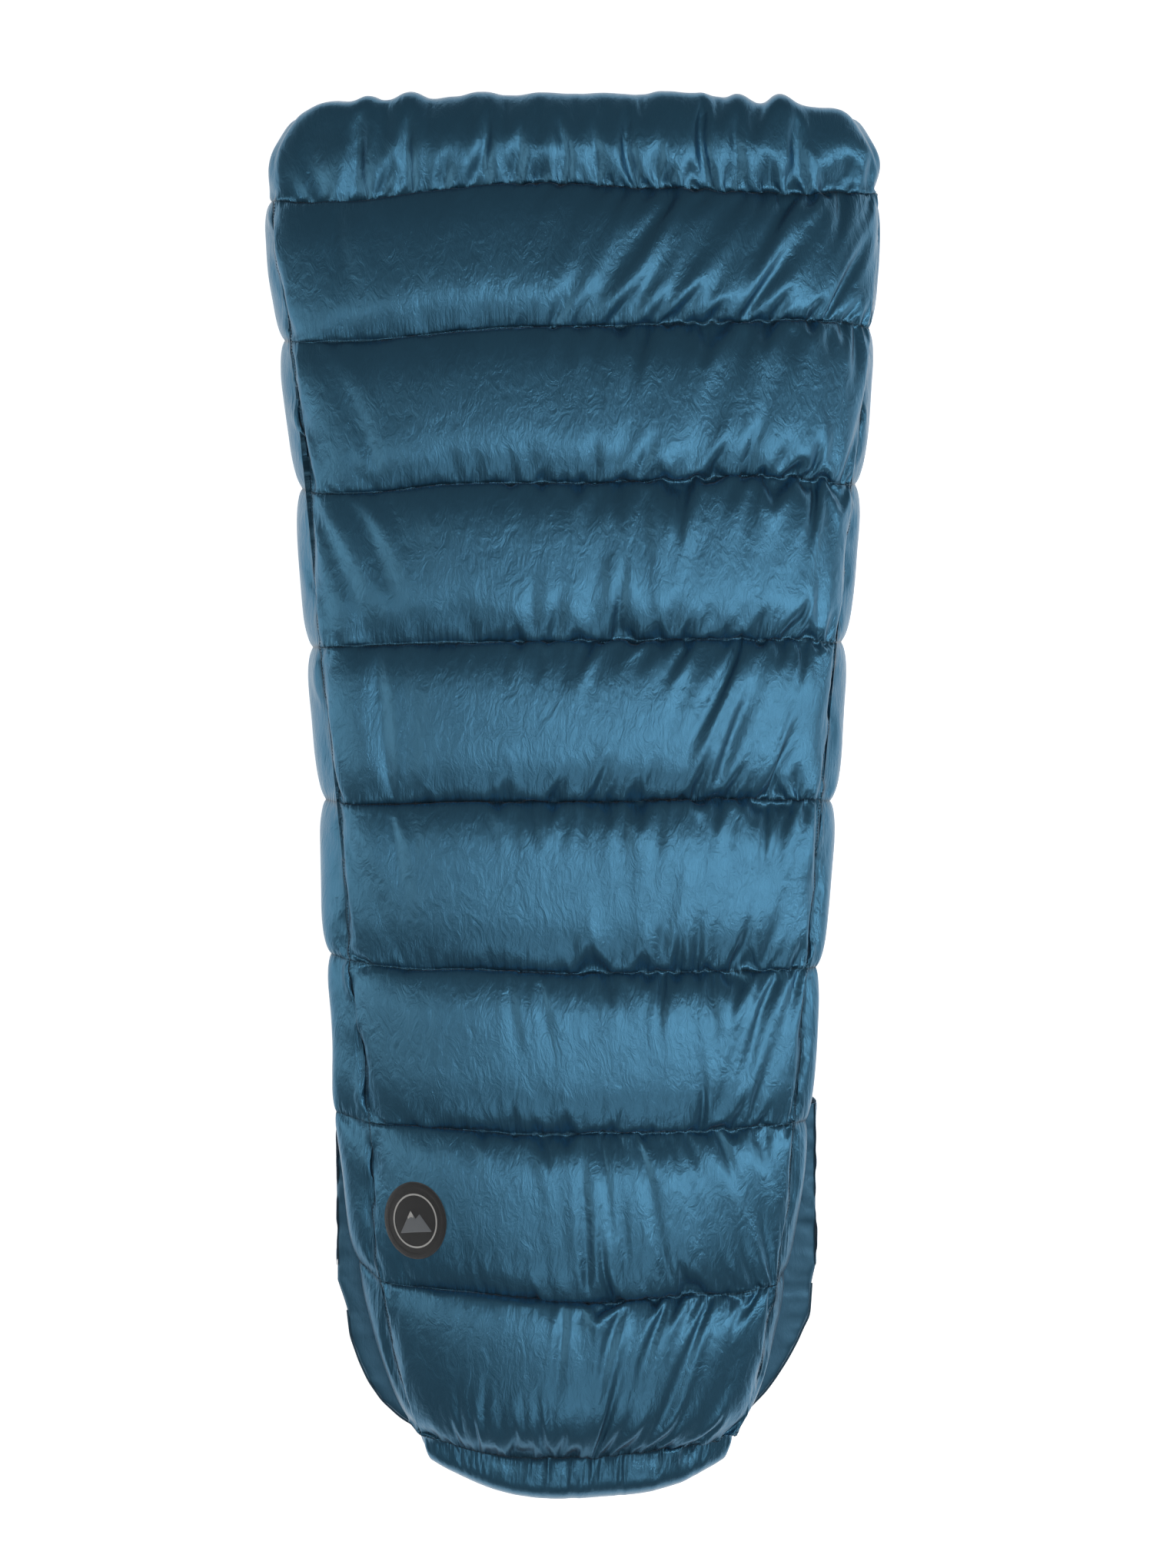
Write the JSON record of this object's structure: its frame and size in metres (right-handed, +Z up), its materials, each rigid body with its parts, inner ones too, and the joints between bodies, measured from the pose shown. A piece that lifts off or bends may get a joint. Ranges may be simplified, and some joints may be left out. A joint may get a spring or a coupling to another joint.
{
  "type": "camp quilt",
  "caption": "Down-filled top quilt with sewn cross chambers, a closed rounded foot box, a drawn-in head collar and a pad sleeve under the foot.",
  "frame": {"origin": "middle of the base of the quilt's bounding box, on the ground that it lies on", "axes": "+Y runs from the foot box towards the head collar, +Z up from the ground, +X to the right seen from above with the head away from the viewer"},
  "size_m": [0.817, 1.8534, 0.1925],
  "materials": {
    "outer_fabric": "satin",
    "lining_fabric": "satin",
    "baffle_mesh": "matte",
    "down": "matte",
    "sleeve_fabric": "satin",
    "binding_tape": "matte",
    "elastic": "matte",
    "badge_cloth": "matte",
    "badge_thread": "satin"
  },
  "bodies": {
    "quilt_body": {"outer_top_panel": "outer_fabric", "head_collar_shell": "outer_fabric", "foot_end_shell": "outer_fabric", "left_foot_side_shell": "outer_fabric", "right_foot_side_shell": "outer_fabric", "top_lining": "lining_fabric", "left_lining_strip": "lining_fabric", "right_lining_strip": "lining_fabric", "collar_lining": "lining_fabric", "foot_end_lining": "lining_fabric", "left_foot_side_lining": "lining_fabric", "right_foot_side_lining": "lining_fabric", "baffle_1": "baffle_mesh", "baffle_2": "baffle_mesh", "baffle_3": "baffle_mesh", "baffle_4": "baffle_mesh", "baffle_5": "baffle_mesh", "baffle_6": "baffle_mesh", "baffle_7": "baffle_mesh", "baffle_8": "baffle_mesh", "baffle_9": "baffle_mesh", "down_fill_1": "down", "down_fill_2": "down", "down_fill_3": "down", "down_fill_4": "down", "down_fill_5": "down", "down_fill_6": "down", "down_fill_7": "down", "down_fill_8": "down", "down_fill_9": "down", "down_fill_10": "down", "left_foot_side_fill": "down", "right_foot_side_fill": "down", "collar_hem_binding": "binding_tape", "scoop_binding_left": "binding_tape", "scoop_binding_right": "binding_tape", "collar_elastic": "elastic", "foot_box_floor": "lining_fabric", "sleeve_top_sheet": "sleeve_fabric", "sleeve_bottom_sheet": "sleeve_fabric", "sleeve_left_gusset": "sleeve_fabric", "sleeve_right_gusset": "sleeve_fabric", "badge_base": "badge_cloth", "badge_emblem": "badge_thread"},
    "left_side": {"left_side_shell": "outer_fabric", "left_side_lining": "lining_fabric", "left_side_fill_1": "down", "left_side_fill_2": "down", "left_side_fill_3": "down", "left_side_fill_4": "down", "left_side_fill_5": "down", "left_side_hem": "binding_tape"},
    "right_side": {"right_side_shell": "outer_fabric", "right_side_lining": "lining_fabric", "right_side_fill_1": "down", "right_side_fill_2": "down", "right_side_fill_3": "down", "right_side_fill_4": "down", "right_side_fill_5": "down", "right_side_hem": "binding_tape"}
  },
  "joints": [
    {"name": "left_side_lift", "type": "hinge", "parent": "quilt_body", "child": "left_side", "pos_m": [-0.34418, 0.28, 0.11027], "axis": [-0.1013, 0.9947, -0.0165], "range_deg": [0, 70]},
    {"name": "right_side_lift", "type": "hinge", "parent": "quilt_body", "child": "right_side", "pos_m": [0.35655, 0.28, 0.08915], "axis": [-0.097, -0.9939, 0.0524], "range_deg": [0, 70]}
  ]
}
